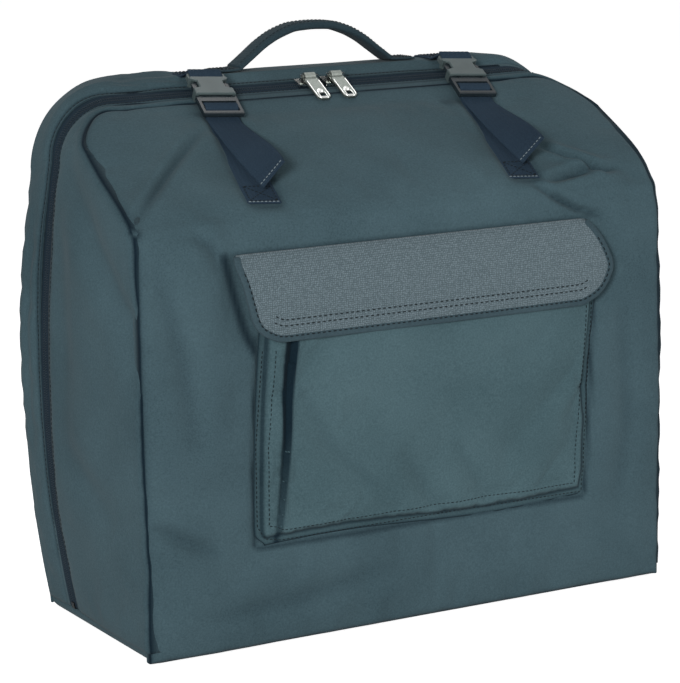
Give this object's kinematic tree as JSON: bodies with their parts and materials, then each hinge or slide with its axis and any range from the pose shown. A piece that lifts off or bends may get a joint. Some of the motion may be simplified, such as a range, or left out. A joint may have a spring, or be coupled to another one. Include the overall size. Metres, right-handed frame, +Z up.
{
  "type": "accordion case",
  "caption": "Soft padded accordion case with sloping top panel, zipped hinged rear lid, flapped front pocket, buckled webbing straps and arched carry handle.",
  "frame": {"origin": "on the ground at the middle of the base", "axes": "+X to the object's right seen from its front, +Y towards the back, +Z up"},
  "size_m": [0.5366, 0.2356, 0.4967],
  "materials": {
    "shell_fabric": "coated nylon weave, matt",
    "flap_fabric": "coarse dotted weave",
    "binding_tape": "ribbed tape",
    "webbing": "woven webbing",
    "lining": "brushed plush",
    "zip_tape": "woven tape",
    "zip_coil": "nylon coil",
    "zip_metal": "bright nickel",
    "buckle_plastic": "satin acetal",
    "hook_loop": "hook-and-loop",
    "board": "plain"
  },
  "bodies": {
    "case": {"front_panel": "shell_fabric", "front_gusset": "shell_fabric", "base_panel": "shell_fabric", "base_board": "board", "front_lining": "lining", "hinge_fold": "shell_fabric", "front_zip_tape": "zip_tape", "front_zip_coil": "zip_coil", "zip_end_stops": "zip_metal", "pocket_panel": "shell_fabric", "pocket_loop_patch": "hook_loop", "left_front_webbing": "webbing", "right_front_webbing": "webbing", "left_male_buckle": "buckle_plastic", "right_male_buckle": "buckle_plastic"},
    "lid": {"back_panel": "shell_fabric", "back_board": "board", "lid_gusset": "shell_fabric", "lid_lining": "lining", "lid_zip_tape": "zip_tape", "lid_zip_coil": "zip_coil", "left_female_buckle": "buckle_plastic", "right_female_buckle": "buckle_plastic", "left_lid_webbing": "webbing", "right_lid_webbing": "webbing", "handle_grip": "webbing", "left_handle_anchor": "webbing", "right_handle_anchor": "webbing"},
    "flap": {"flap_panel": "flap_fabric", "flap_binding": "binding_tape", "flap_hook_patch": "hook_loop"},
    "left_slider": {"left_zip_slider": "zip_metal"},
    "left_pull": {"left_zip_pull": "zip_metal"},
    "left_outer_prong": {"left_buckle_outer_prong": "buckle_plastic"},
    "left_inner_prong": {"left_buckle_inner_prong": "buckle_plastic"},
    "right_slider": {"right_zip_slider": "zip_metal"},
    "right_pull": {"right_zip_pull": "zip_metal"},
    "right_outer_prong": {"right_buckle_outer_prong": "buckle_plastic"},
    "right_inner_prong": {"right_buckle_inner_prong": "buckle_plastic"}
  },
  "joints": [
    {"name": "lid_hinge", "type": "hinge", "parent": "case", "child": "lid", "pos_m": [0, 0.11, 0], "axis": [-1, 0, 0], "range_deg": [0, 90]},
    {"name": "flap_hinge", "type": "hinge", "parent": "case", "child": "flap", "pos_m": [0, -0.1123, 0.33], "axis": [-1, 0, 0], "range_deg": [0, 150]},
    {"name": "left_slider_run", "type": "slide", "parent": "case", "child": "left_slider", "axis": [-1, 0, 0], "range_m": [0, 0.07]},
    {"name": "right_slider_run", "type": "slide", "parent": "case", "child": "right_slider", "axis": [1, 0, 0], "range_m": [0, 0.085]},
    {"name": "left_pull_flip", "type": "hinge", "parent": "left_slider", "child": "left_pull", "pos_m": [-0.01, 0.04469, 0.45261], "axis": [-1, 0, 0], "range_deg": [0, 190]},
    {"name": "right_pull_flip", "type": "hinge", "parent": "right_slider", "child": "right_pull", "pos_m": [0.016, 0.04469, 0.45261], "axis": [-1, 0, 0], "range_deg": [0, 190]},
    {"name": "left_inner_squeeze", "type": "hinge", "parent": "case", "child": "left_inner_prong", "pos_m": [-0.10176, 0.02008, 0.44246], "axis": [0, -0.5089, 0.8608], "range_deg": [0, 8], "stiffness_Nm_per_rad": 0.3},
    {"name": "left_outer_squeeze", "type": "hinge", "parent": "case", "child": "left_outer_prong", "pos_m": [-0.12362, 0.02222, 0.44373], "axis": [0, 0.5089, -0.8608], "range_deg": [0, 8], "stiffness_Nm_per_rad": 0.3},
    {"name": "right_inner_squeeze", "type": "hinge", "parent": "case", "child": "right_inner_prong", "pos_m": [0.12588, 0.02222, 0.44373], "axis": [0, 0.5089, -0.8608], "range_deg": [0, 8], "stiffness_Nm_per_rad": 0.3},
    {"name": "right_outer_squeeze", "type": "hinge", "parent": "case", "child": "right_outer_prong", "pos_m": [0.14774, 0.02008, 0.44246], "axis": [0, -0.5089, 0.8608], "range_deg": [0, 8], "stiffness_Nm_per_rad": 0.3}
  ],
  "couplings": [
    {"joint": "left_outer_squeeze", "follows": "left_inner_squeeze", "ratio": 1},
    {"joint": "right_outer_squeeze", "follows": "right_inner_squeeze", "ratio": 1}
  ]
}
